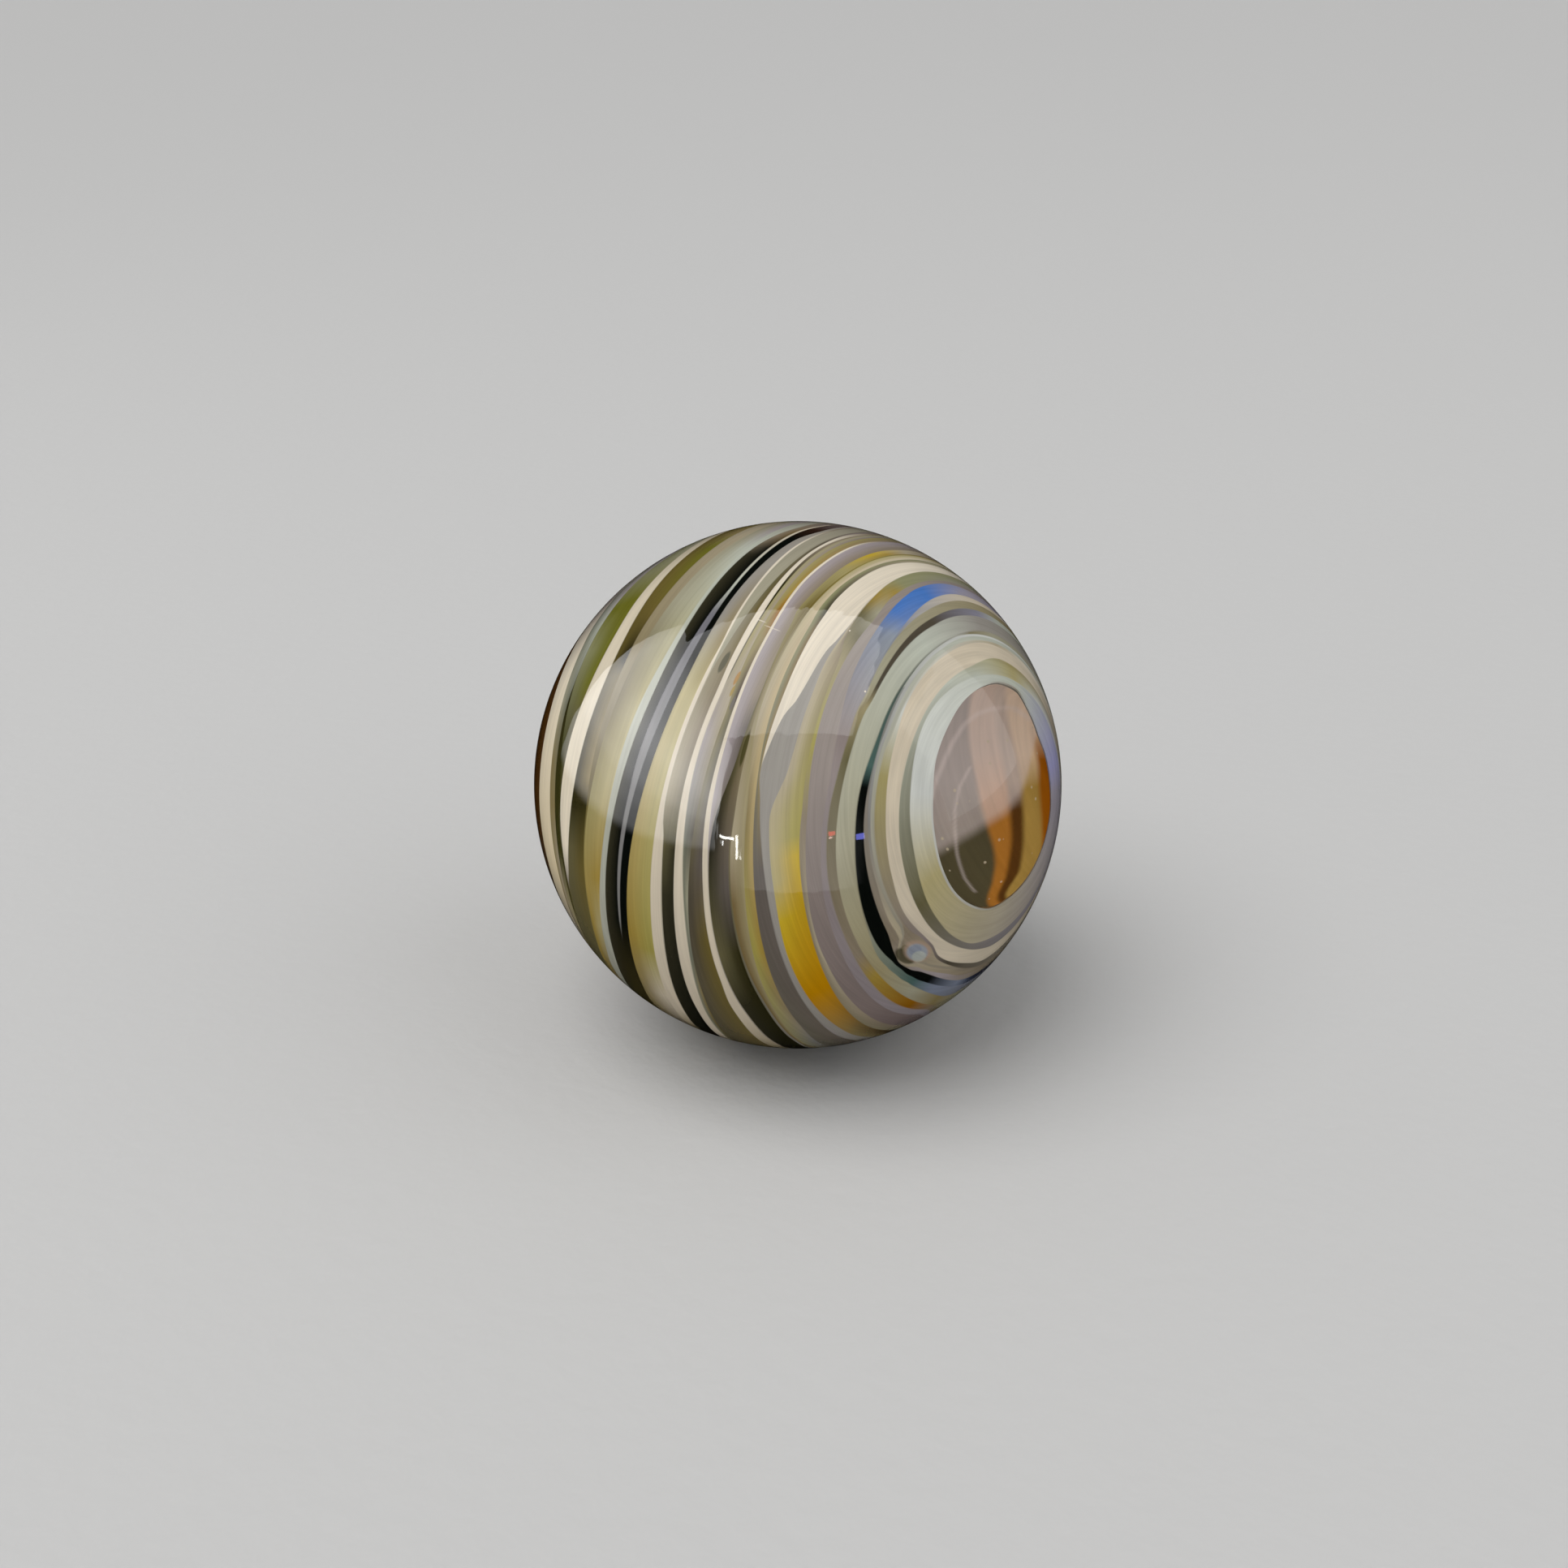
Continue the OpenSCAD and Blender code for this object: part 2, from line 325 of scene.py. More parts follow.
    Trail("girdle_ink",
          edge={0: 97, 60: 96, 110: 94.5, 150: 93.5, 170: 92.4, 180: 93, 228: 90.9, 260: 92.6, 280: 93.5,
                300: 96, 315: 98},
          glass={0: "olive", 165: "dark_mauve", 176: "dark_brown", 184: "ink", 280: "ink"}),
    Trail("girdle_light",
          wide={0: 0.1, 150: 0.2, 180: 0.6, 204: 0.6, 212: 1.2, 234: 2, 244: 1.8, 252: 1.2, 280: 0.45,
                286: 0.1},
          glass={0: "olive", 165: "taupe", 178: "cream", 204: "mint", 212: "storm", 280: "grey",
                 290: "ink"}),
    Trail("girdle_ink_2",
          edge={0: 100, 60: 98, 150: 95, 175: 95, 183: 95.8, 192: 96.2, 230: 95, 240: 95.3, 290: 98.3,
                300: 99.8, 310: 101.5},
          glass={0: "olive", 170: "mauve", 180: "khaki_brown", 190: "ink", 280: "ink"},
          far={184: "taupe", 194: "deep_olive", 345: "deep_olive"}),
    Trail("cream_line",
          edge={0: 102, 110: 98, 150: 97, 180: 97.5, 220: 96.2, 240: 97.1, 260: 97.6, 290: 100.6,
                300: 102.6, 315: 104},
          glass={150: "taupe", 191: "mint"}),
    Trail("mint_sash",
          edge={0: 105, 60: 103, 110: 102, 150: 101, 185: 101, 195: 101.3, 250: 102.2, 270: 102.9,
                280: 103, 290: 103.8, 300: 105.5},
          glass={180: "lilac", 192: "mint", 232: "straw_khaki", 252: "straw", 272: "ochre", 285: "straw",
                 300: "khaki"},
          far={210: "sage", 234: "olive", 258: "straw_khaki", 284: "ochre"}),
    Trail("lilac_line",
          edge={0: 106, 60: 105, 110: 105, 150: 104, 200: 103.7, 220: 103.9, 228: 103.6, 250: 103.2,
                258: 102.9, 280: 103.2, 290: 104, 300: 105.7},
          glass={180: "beige", 252: "olive"}),
    Trail("moss_sash",
          edge={0: 110, 60: 109, 110: 109, 200: 107.6, 230: 106.3, 260: 107.3, 273: 108.5, 278: 109.4,
                290: 110.2},
          glass={0: "moss", 120: "moss", 183: "khaki", 192: "moss", 214: "olive", 226: "ink",
                 230: "olive", 252: "khaki", 257: "dark_olive", 272: "olive", 300: "olive_dim"},
          far={206: "olive", 258: "dark_olive", 268: "olive_dim"}),
    Trail("ivory_sash",
          edge={0: 110.2, 60: 110, 110: 110.5, 150: 110.5, 190: 109.7, 210: 109.6, 220: 109.3, 255: 110.9,
                280: 109.7, 290: 110.4},
          glass={140: "beige", 268: "bright_cream", 278: "lilac_pink"}),
    Trail("moss_leaf",
          edge={0: 114, 60: 113, 185: 113, 205: 115, 215: 115.2, 232: 114.5, 258: 111.4, 275: 110.5,
                290: 111},
          glass={188: "sage", 210: "moss", 232: "moss", 240: "olive_dim", 262: "dark_moss", 300: "olive"},
          far={200: "moss_sage", 212: "moss", 224: "moss_sage", 250: "dark_moss", 345: "dark_moss"}),
    Trail("dark_line",
          wide={0: 0.1, 226: 0.1, 242: 1, 255: 1.7, 290: 1.5, 320: 0.3},
          glass={200: "moss_sage", 230: "dark_olive", 270: "dark_moss", 285: "sage_khaki"}),
    Trail("grey_leaf",
          edge={0: 118, 60: 117, 150: 117, 195: 117.5, 205: 118.8, 215: 118.8, 222: 118.2, 270: 114.4,
                280: 113.8, 300: 114},
          glass={205: "lilac", 216: "mint", 236: "slate_green", 260: "khaki", 272: "beige", 300: "taupe"},
          far={216: "slate_green", 236: "sage", 250: "khaki"}),
    Trail("peach_sash",
          edge={0: 124, 60: 123, 110: 123, 150: 122, 195: 122, 205: 124, 215: 125, 222: 124.2, 240: 122.3,
                260: 121.8, 270: 121, 280: 120, 300: 120},
          glass={205: "lilac_pink", 228: "bright_cream", 276: "bright_peach", 300: "ash"}),
    Trail("brown_cap_ring",
          edge={0: 131, 120: 130, 200: 131, 240: 130, 300: 129},
          glass={0: "taupe", 120: "khaki", 215: "brown", 265: "brown"}),
)

# Plain rings that close the far end, out of sight: how far across each one's far edge lies
# at the bottom and at the top, and its glass there.
FAR_RINGS = (
    ("far_mauve", 134, 133.5, "mauve", "mauve"),
    ("far_ivory", 136.5, 135.5, "ivory", "ivory"),
    ("far_olive", 141, 140, "olive", "moss"),
    ("far_ink", 144.5, 144, "ink", "ink"),
    ("far_mint", 150, 148.5, "mint", "straw"),
    ("far_lilac", 153, 153, "lilac", "lilac"),
    ("far_amber", 157, 158, "amber", "ochre"),
    ("far_cream", 160, 160, "cream", "cream"),
    ("far_slate", 165, 164, "slate_blue", "slate_blue"),
    ("far_sage", 171, 171, "sage", "sage"),
    ("far_end", FAR_END, FAR_END, "khaki", "khaki"),
)
TRAILS += tuple(Trail(name, edge={0: low, 180: high}, glass={0: low_glass, 180: high_glass})
                for name, low, high, low_glass, high_glass in FAR_RINGS)

# Small marks on the trails, laid one over another. Across and turn place each one's
# middle; wide and long are half its sizes, in degrees across and round. The bubble is
# sunken glass beside the window with painted shadow and shade, the scratch is wear, the two white seeds
# are painted glints and the dark olive patch is painted shade where the lamps' reflection has a gap.
Spot = namedtuple("Spot", "name across turn wide long glass strength")

SPOTS = (
    Spot("bubble_shadow", 37.9, 314.4, 1.5, 5.6, "dark_olive", 0.8),
    Spot("bubble_shade", 36.5, 311.8, 0.8, 2.2, "olive_dim", 0.8),
    Spot("bubble_rim", 35.6, 317, 2.5, 7.2, "rosy", 0.75),
    Spot("bubble_core", 35.8, 317.2, 2, 5.4, "pale_blue", 0.9),
    Spot("bubble_blue", 35.6, 315.6, 1.3, 3, "slate_blue", 0.5),
    Spot("bubble_light", 36.4, 319.4, 1.4, 3.4, "mint", 0.6),
    # This dark olive patch is painted shade, standing in for a gap in the lamps' reflection on the glass.
    Spot("olive_chip", 82.2, 221.4, 0.9, 2.6, "dark_moss", 0.85),
    Spot("orange_chip", 76.2, 223.8, 0.6, 1.7, "orange_ochre", 0.8),
    Spot("ochre_chip", 75.7, 226.6, 0.5, 1.3, "ochre", 0.9),
    Spot("brown_chip", 74, 229, 0.6, 1.6, "slate_mauve", 0.8),
    Spot("olive_wedge", 65.2, 238, 0.7, 4.2, "dark_moss", 0.8),
    # These two white dots are painted glints, standing in for light caught by tiny seeds in the glass.
    Spot("upper_seed", 50.5, 202.7, 0.22, 0.3, "ivory", 1),
    Spot("lower_seed", 39.25, 217.3, 0.22, 0.35, "ivory", 1),
    Spot("scratch_head", 79.3, 210.2, 2, 0.14, "ivory", 0.6),
    Spot("scratch_tail", 74.3, 210.9, 3.4, 0.14, "ivory", 0.5),
)

# ---------------- the bands in the bowl
# Seen down the window's axis: "down" and "side" are shares of the ball's radius, and a
# band's edge gives the side that it reaches at chosen places down.
Band = namedtuple("Band", Trail._fields, defaults=(None,) * 4)

BAND_START = {0: -0.45}
BANDS = (
    Band("near_sage", edge={-0.4: -0.2, 0: -0.26, 0.4: -0.3}, glass={-0.4: "sage", 0.4: "sage_khaki"}),
    Band("near_olive", edge={-0.4: -0.1, 0: -0.16, 0.4: -0.2}, glass={-0.4: "olive_dim", 0.4: "olive"}),
    Band("near_pale", edge={-0.4: -0.03, 0: -0.08, 0.4: -0.12}, glass={-0.4: "beige", 0.4: "mint"}),
    Band("bowl_olive",
         edge={-0.4: 0.15, -0.2: 0.178, 0: 0.185, 0.1: 0.176, 0.2: 0.162, 0.25: 0.142, 0.3: 0.1,
               0.38: 0.01},
         glass={0: "slate_mauve", 0.12: "bowl_moss"}),
    Band("bowl_orange",
         edge={-0.4: 0.21, -0.2: 0.245, 0: 0.262, 0.1: 0.248, 0.2: 0.216, 0.3: 0.145, 0.38: 0.05},
         glass={-0.05: "rosy", 0.08: "salmon", 0.15: "tawny"}),
    Band("bowl_brown",
         edge={-0.4: 0.235, -0.2: 0.28, 0: 0.3, 0.1: 0.285, 0.2: 0.252, 0.3: 0.19, 0.38: 0.08},
         glass={0.05: "dull_rose", 0.13: "brown"}),
    Band("bowl_khaki",
         edge={-0.4: 0.3, -0.2: 0.345, 0: 0.353, 0.1: 0.335, 0.2: 0.31, 0.3: 0.262, 0.38: 0.15},
         glass={-0.02: "peach", 0.08: "bowl_khaki"}),
    Band("bowl_amber",
         edge={0: 0.45},
         glass={-0.4: "taupe", -0.12: "peach", 0: "russet", 0.28: "russet", 0.33: "lavender"}),
)

# A pale wash lies over the bands down to this edge, partly paler glass and partly painted haze that
# stands in for a reflection on the window: how far down, by the side.
HAZE_VEIL_EDGE = {-0.4: 0.2, -0.02: 0.175, 0.1: 0.16, 0.17: 0.145, 0.22: 0.13, 0.27: 0.1, 0.31: 0.05,
             0.34: -0.02, 0.37: -0.1, 0.42: -0.2}
HAZE_VEIL_SHARE = 0.42
HAZE_VEIL_FEATHER = 0.02

# Fine pale threads in the bowl: (down, side) points, their width and their strength.
Thread = namedtuple("Thread", "name points wide strength")

THREADS = (
    Thread("upper_thread", ((0.02, 0.045), (-0.007, 0.063), (-0.045, 0.092), (-0.11, 0.134),
                            (-0.16, 0.171), (-0.184, 0.206), (-0.193, 0.248),
                            (-0.19, 0.3), (-0.15, 0.343)), 0.016, 0.4),
    Thread("lower_thread", ((-0.02, 0.175), (0.026, 0.134), (0.081, 0.102), (0.144, 0.076),
                            (0.198, 0.05), (0.267, 0.027), (0.31, 0.024)), 0.009, 0.35),
)

# ---------------- the camera
# Its heading and height are seen from the ball's centre, and its reach is in ball radii.
CAMERA_HEADING = -49.0
CAMERA_LIFT = 25.3
CAMERA_REACH = 7.0
CLIP_START = 5 * MM
SENSOR = 36.0

# The frame's size and centre, the focal length and the ball's centre, all in pixels
FRAME_PIXELS = 1932
FRAME_CENTRE = 966
FOCAL_PIXELS = 2252
BALL_ACROSS = 983
BALL_DOWN = 967


def heading_and_lift(heading, lift):
    """The direction at that heading and height above level."""
    level = math.cos(math.radians(lift))
    return Vector((level * math.cos(math.radians(heading)),
                   level * math.sin(math.radians(heading)),
                   math.sin(math.radians(lift))))


def in_scene(name, data):
    """A new object in the scene, at the origin."""
    thing = bpy.data.objects.new(name, data)
    bpy.context.scene.collection.objects.link(thing)
    return thing


def make_camera():
    """Looks along the line to the ball's centre, with the frame shifted to place it."""
    lens = bpy.data.cameras.new("camera")
    lens.sensor_width = SENSOR
    lens.lens = SENSOR * FOCAL_PIXELS / FRAME_PIXELS
    lens.shift_x = (FRAME_CENTRE - BALL_ACROSS) / FRAME_PIXELS
    lens.shift_y = (BALL_DOWN - FRAME_CENTRE) / FRAME_PIXELS
    lens.clip_start = CLIP_START
    camera = in_scene("camera", lens)
    outward = heading_and_lift(CAMERA_HEADING, CAMERA_LIFT)
    camera.location = outward * CAMERA_REACH * BALL_R
    camera.rotation_euler = (-outward).to_track_quat("-Z", "Y").to_euler()
    bpy.context.scene.camera = camera


make_camera()


# ---------------- curves round the ball
def eased(start, end, value):
    """0 before start, 1 after end, and a smooth rise between."""
    share = min(max((value - start) / (end - start), 0), 1)
    return share * share * (3 - 2 * share)


class Along:
    """Numbers or colours at chosen places. A closed one repeats every full turn, and
    overlap is how many of its points are laid again past each end."""

    def __init__(self, points, closed, overlap):
        points = list(points.items())
        if closed:
            before = [(place - FULL_TURN, value) for place, value in points[-overlap:]]
            after = [(place + FULL_TURN, value) for place, value in points[:overlap]]
            points = before + points + after
        self.places = [place for place, _ in points]
        self.values = [value for _, value in points]

    def at(self, place):
        """The number or colour at that place."""
        if place <= self.places[0]:
            return self.values[0]
        if place >= self.places[-1]:
            return self.values[-1]
        i = bisect_right(self.places, place) - 1
        share = (place - self.places[i]) / (self.places[i + 1] - self.places[i])
        return self.between(i, share)


class Path(Along):
    """A number that changes smoothly and never swings past its points."""

    def __init__(self, points, closed=True):
        super().__init__(points, closed, 2)
        self.gaps = [end - start for start, end in zip(self.places, self.places[1:])]
        self.rises = [end - start for start, end in zip(self.values, self.values[1:])]
        steeps = [rise / gap for rise, gap in zip(self.rises, self.gaps)]
        self.slopes = [0.0] * len(self.places)
        for i, (before, after) in enumerate(zip(steeps, steeps[1:]), 1):
            if before * after > 0:
                self.slopes[i] = 2 * before * after / (before + after)

    def between(self, i, share):
        """The number at a share of the way from one point to the next."""
        rise = self.rises[i]
        lead = self.slopes[i] * self.gaps[i]
        trail = self.slopes[i + 1] * self.gaps[i]
        bend = 3 * rise - 2 * lead - trail
        twist = lead + trail - 2 * rise
        return self.values[i] + lead * share + bend * share ** 2 + twist * share ** 3


class Tint(Along):
    """A colour that changes evenly through chosen glasses of the palette."""

    def __init__(self, points, closed=True):
        super().__init__({place: GLASS[name] for place, name in points.items()}, closed, 1)

    def between(self, i, share):
        """The colour at a share of the way from one point to the next."""
        return self.values[i].lerp(self.values[i + 1], share)


HAZE_VEIL_PATH = Path(HAZE_VEIL_EDGE, closed=False)

# ---------------- where the winding lies
WINDOW_TURN = Matrix.Rotation(math.radians(90 - WINDOW_LIFT), 3, "Y")
SIDE_TURN = Matrix.Rotation(math.radians(LEAN_SIDE), 3, "Z")


def winding_point(across, turn):
    """The place on a ball of radius 1 at that angle across and that turn round."""
    lean = GIRDLE_LEAN * eased(LEAN_START, LEAN_FULL, across)
    lean -= (GIRDLE_LEAN - FAR_LEAN) * eased(LEAN_FULL, LEAN_END, across)
    out = math.radians(across)
    round_it = math.radians(turn - LEAN_SIDE)
    ring_point = Vector((math.sin(out) * math.cos(round_it),
                         math.sin(out) * math.sin(round_it), math.cos(out)))
    tip = Matrix.Rotation(math.radians(lean), 3, "Y")
    return WINDOW_TURN @ (SIDE_TURN @ (tip @ ring_point))


def grain_at(across, turn):
    """A place along the grain of the glass, which runs round the ball with no seam."""
    round_it = math.radians(turn)
    return math.radians(across), math.cos(round_it), math.sin(round_it)


class Layers:
    """Trails or bands side by side: their edges and colours at any place along them."""

    def __init__(self, first_edge, layers, least, feather, closed=True):
        self.first = Path(first_edge, closed)
        self.paths = [Path(layer.edge or layer.wide, closed) for layer in layers]
        self.thin = [layer.wide is not None for layer in layers]
        self.tints = [Tint(layer.glass, closed) for layer in layers]
        self.far_tints = [Tint(layer.far or layer.glass, closed) for layer in layers]
        self.least = least
        self.feather = feather

    def edges(self, place):
        """The near edge of the first layer, then each layer's far edge."""
        found = [self.first.at(place)]
        for path, thin in zip(self.paths, self.thin):
            far = path.at(place) + (found[-1] if thin else 0)
            found.append(max(far, found[-1] + self.least))
        return found

    def colours(self, tints, place, edges):
        """Each layer's colour. A layer that has nearly run out takes its neighbours'."""
        whole = [tint.at(place) for tint in tints]
        found = []
        for i, colour in enumerate(whole):
            width = edges[i + 1] - edges[i]
            strength = min(max((width - self.least) / (2 * self.feather), 0), 1)
            if strength < 1:
                after = next((j for j in range(i + 1, len(whole))
                              if edges[j + 1] - edges[j] > 2 * self.feather), i)
                before = found[-1] if found else whole[after]
                colour = before.lerp(whole[after], 0.5).lerp(colour, strength)
            found.append(colour)
        return found


# ---------------- pieces of glass
def new_piece(name, bm, materials):
    """An object at the origin from a finished bmesh."""
    mesh = bpy.data.meshes.new(name)
    bm.to_mesh(mesh)
    bm.free()
    for material in materials:
        mesh.materials.append(material)
    mesh.shade_smooth()
    return in_scene(name, mesh)


def paint(mesh, colours, grains):
    """Keeps each vertex's glass colour and its place along the grain on the mesh."""
    glass = mesh.attributes.new("glass", "FLOAT_COLOR", "POINT")
    glass.data.foreach_set("color", [c for colour in colours for c in (*colour, 1.0)])
    grain = mesh.attributes.new("grain", "FLOAT_VECTOR", "POINT")
    grain.data.foreach_set("vector", [c for place in grains for c in place])


def bowl_ring(turn, share, fit=0.0):
    """A place on the bowl, from its bottom (share 0) up to the lip (share 1), the normal
    there that faces into the bowl, and the same place seen down the window's axis."""
    rise = share * BOWL_TOP
    wide, deep = BOWL_R + fit, BOWL_DEPTH + fit
    way = Vector((math.cos(math.radians(turn)), math.sin(math.radians(turn)), 0))
    seen = way * wide * math.sin(rise)
    seen.z = BOWL_LEVEL - deep * math.cos(rise)
    normal = -way * math.sin(rise) / wide
    normal.z = math.cos(rise) / deep
    return WINDOW_TURN @ seen, WINDOW_TURN @ normal.normalized(), seen


def distance_to(points, down, side):
    """How far a place in the bowl lies from a line through those points."""
    spot = Vector((down, side))
    nearest = 1.0
    for start, end in zip(points, points[1:]):
        start, end = Vector(start), Vector(end)
        span = end - start
        share = min(max((spot - start).dot(span) / span.length_squared, 0), 1)
        nearest = min(nearest, (spot - start - span * share).length)
    return nearest


def band_tint(bands, down, side):
    """The colour of the bowl's wall at that place, softened across the bands' edges."""
    edges = bands.edges(down)
    tints = bands.colours(bands.tints, down, edges)
    i = min(max(bisect_right(edges, side) - 1, 0), len(tints) - 1)
    colour = tints[i]
    if i + 1 < len(tints) and edges[i + 1] - side < BAND_FEATHER:
        share = 0.5 - (edges[i + 1] - side) / BAND_FEATHER / 2
        colour = colour.lerp(tints[i + 1], share)
    elif i > 0 and side - edges[i] < BAND_FEATHER:
        share = 0.5 - (side - edges[i]) / BAND_FEATHER / 2
        colour = colour.lerp(tints[i - 1], share)
    # The pale wash is partly paler glass and partly painted haze, standing in for a reflection on the
    # window.
    edge = HAZE_VEIL_PATH.at(side)
    veil_haze_share = HAZE_VEIL_SHARE * (1 - eased(edge - HAZE_VEIL_FEATHER, edge + HAZE_VEIL_FEATHER, down))
    colour = colour.lerp(GLASS["veil"], veil_haze_share)
    for thread in THREADS:
        nearness = 1 - eased(0, thread.wide, distance_to(thread.points, down, side))
        colour = colour.lerp(GLASS["veil"], nearness * thread.strength)
    return colour


def ring_grid(rows):
    """A UV sphere, with each vertex's row and column counted from its first pole."""
    bm = bmesh.new()
    bmesh.ops.create_uvsphere(bm, u_segments=COLUMNS, v_segments=rows, radius=1.0)
    spots = []
    for vertex in bm.verts:
        polar = math.acos(max(-1.0, min(1.0, vertex.co.z)))
        column = round(math.atan2(vertex.co.y, vertex.co.x) / math.tau * COLUMNS) % COLUMNS
        spots.append((round(polar / math.pi * rows), column))
    return bm, spots


def wound_rows(layers):
    """Every row of the wound glass from the bottom of the bowl to the far pole: the
    trail that it belongs to, or "bowl" or "lip", and its share of the way over that."""
    plan = [("bowl", row / BOWL_ROWS) for row in range(BOWL_ROWS + 1)]
    plan += [("lip", row / LIP_ROWS) for row in range(1, LIP_ROWS + 1)]
    looks = [layers.edges(look * FULL_TURN / WIDTH_LOOKS) for look in range(WIDTH_LOOKS)]
    for i in range(len(layers.paths)):
        widest = max(edges[i + 1] - edges[i] for edges in looks)
        spans = max(1, round(widest / ROW_STEP))
        plan += [(i, step / spans) for step in range(spans + 1)]
    return plan


# One line of the wound ball from pole to pole: where its trails end and how they look
Column = namedtuple("Column", "turn edges tints far_tints")


def wound_column(layers, turn):
    """What the trails do at that turn round the ball."""
    edges = layers.edges(turn)
    return Column(turn, edges, layers.colours(layers.tints, turn, edges),
                  layers.colours(layers.far_tints, turn, edges))


def on_bowl(bands, column, share):
    """A place on the bowl's wall: where it is, its normal, its colour and its grain."""
    place, normal, seen = bowl_ring(column.turn, share)
    grain = (seen.y * BAND_GRAIN, seen.x, seen.z)
    return place, normal, band_tint(bands, seen.x, seen.y), grain


def under_lip(column, share):
    """The same for a place under the lip, from the bowl's top to the window's rim."""
    across = LIP_ANGLE + (column.edges[0] - LIP_ANGLE) * share
    place = winding_point(across, column.turn) * LIP_UNDER
    return place, -place.normalized(), column.tints[1], grain_at(across, column.turn)


def on_trail(number, column, share, at_pole):
    """The same for a place on a trail, from its near edge to its far edge."""
    near, far = column.edges[number:number + 2]
    margin = min(FEATHER / 2, MOST_MARGIN * (far - near))
    across = near + margin + (far - near - 2 * margin) * share
    if at_pole:
        across = FAR_END
    place = winding_point(across, column.turn)
    colour = column.tints[number].lerp(column.far_tints[number], eased(0, 1, share))
    return place, place.copy(), colour, grain_at(across, column.turn)


def make_wound_glass(materials):
    """The wound ball: a UV sphere whose first rows line the bowl and whose other rows are
    slid along the ball to the edges of the trails."""
    layers = Layers(WINDOW_RIM, TRAILS, LEAST_WIDTH, FEATHER)
    bands = Layers(BAND_START, BANDS, LEAST_BAND, BAND_FEATHER, closed=False)
    plan = wound_rows(layers)
    columns = [wound_column(layers, i * FULL_TURN / COLUMNS) for i in range(COLUMNS)]
    pole = len(plan) - 1
    bm, spots = ring_grid(pole)
    normals, colours, grains = [], [], []
    for vertex, (row, column) in zip(bm.verts, spots):
        zone, share = plan[row]
        if zone == "bowl":
            place, normal, colour, grain = on_bowl(bands, columns[column], share)
        elif zone == "lip":
            place, normal, colour, grain = under_lip(columns[column], share)
        else:
            place, normal, colour, grain = on_trail(zone, columns[column], share, row == pole)
        vertex.co = place * BALL_R
        normals.append(normal)
        colours.append(colour)
        grains.append(grain)
    bm.verts.index_update()
    for face in bm.faces:
        first_row = min(spots[vertex.index][0] for vertex in face.verts)
        face.material_index = 1 if first_row < BOWL_ROWS + LIP_ROWS else 0
    piece = new_piece("wound_glass", bm, materials)
    paint(piece.data, colours, grains)
    piece.data.normals_split_custom_set_from_vertices(normals)
    return piece


def make_window_glass(material):
    """The clear glass: the ball's skin inside the rim, tucked under the lip, and the bowl,
    a hair larger than the hollow that it fills, so that no gap shows between them."""
    rim = Path(WINDOW_RIM)
    bowl_start = WINDOW_ROWS + TUCK_ROWS
    bm, spots = ring_grid(bowl_start + CLEAR_BOWL_ROWS)
    normals = []
    for vertex, (row, column) in zip(bm.verts, spots):
        turn = column * FULL_TURN / COLUMNS
        if row <= WINDOW_ROWS:
            place = winding_point(rim.at(turn) * row / WINDOW_ROWS, turn)
            normal = place.copy()
        elif row < bowl_start:
            share = (row - WINDOW_ROWS) / TUCK_ROWS
            across = rim.at(turn) + (LIP_ANGLE - rim.at(turn)) * share
            place = winding_point(across, turn) * (1 + LIP_UNDER) / 2
            normal = place.normalized()
        else:
            share = 1 - (row - bowl_start) / CLEAR_BOWL_ROWS
            place, inward, _ = bowl_ring(turn, share, FIT)
            normal = -inward
        vertex.co = place * BALL_R
        normals.append(normal)
    piece = new_piece("window_glass_piece", bm, [material])
    piece.data.normals_split_custom_set_from_vertices(normals)
    return piece


# ---------------- finishes
# Streaks that run along the grain: how many there are across it and along it, how broken
# up they are, and how far they lighten and darken the glass. The last of the trails'
# streaks are broad clouds, which the skin rises and falls with.
Streak = namedtuple("Streak", "grain detail roughness shade")

TRAIL_STREAKS = (
    Streak((46, 1.1, 1.1), 3.0, 0.6, 0.34),
    Streak((150, 1.6, 1.6), 1.0, 0.5, 0.2),
    Streak((9, 3, 3), 2.0, 0.5, 0.16),
)
BOWL_STREAKS = (Streak((26, 3, 3), 2.0, 0.5, 0.3),)
BAND_GRAIN = 2.5

GLASS_IOR = 1.5
SKIN_ROUGHNESS = 0.03
SKIN_WAVE = 0.12
SKIN_WAVE_DEEP = 0.2 * MM
CLEAR_TINT = (0.98, 0.99, 0.98, 1.0)

# A mark on the trails is whole up to this share of its size, and gone at the second
MARK_WHOLE = 0.75
MARK_GONE = 1.1

# The wall of the bowl, with a painted glow, an emission that stands in for light coming through the
# coloured glass, and its seeds,
# the tiny bubbles in it: how close they lie, how far they reach and which of them show
WALL_ROUGHNESS = 0.9
PAINTED_WALL_GLOW = 0.3
SEED_SCALE = 1700.0
SEED_REACH = (0.08, 0.15)
SEED_PICK = (0.55, 0.65)
SEED_SHARE = 0.7

GROUND_SIZE = 6.0
GROUND_TONE = (0.64, 0.64, 0.64, 1.0)
GROUND_ROUGHNESS = 0.9
GROUND_FLECKS = 900.0
FLECK_DETAIL = 2.0
FLECK_BUMP = 0.2
FLECK_DEEP = 0.3 * MM

# The colour sockets of a Mix node go by number, because other kinds share their names
MIX_SHARE = 0
MIX_UNDER = 6
MIX_OVER = 7
MIX_COLOUR = 2


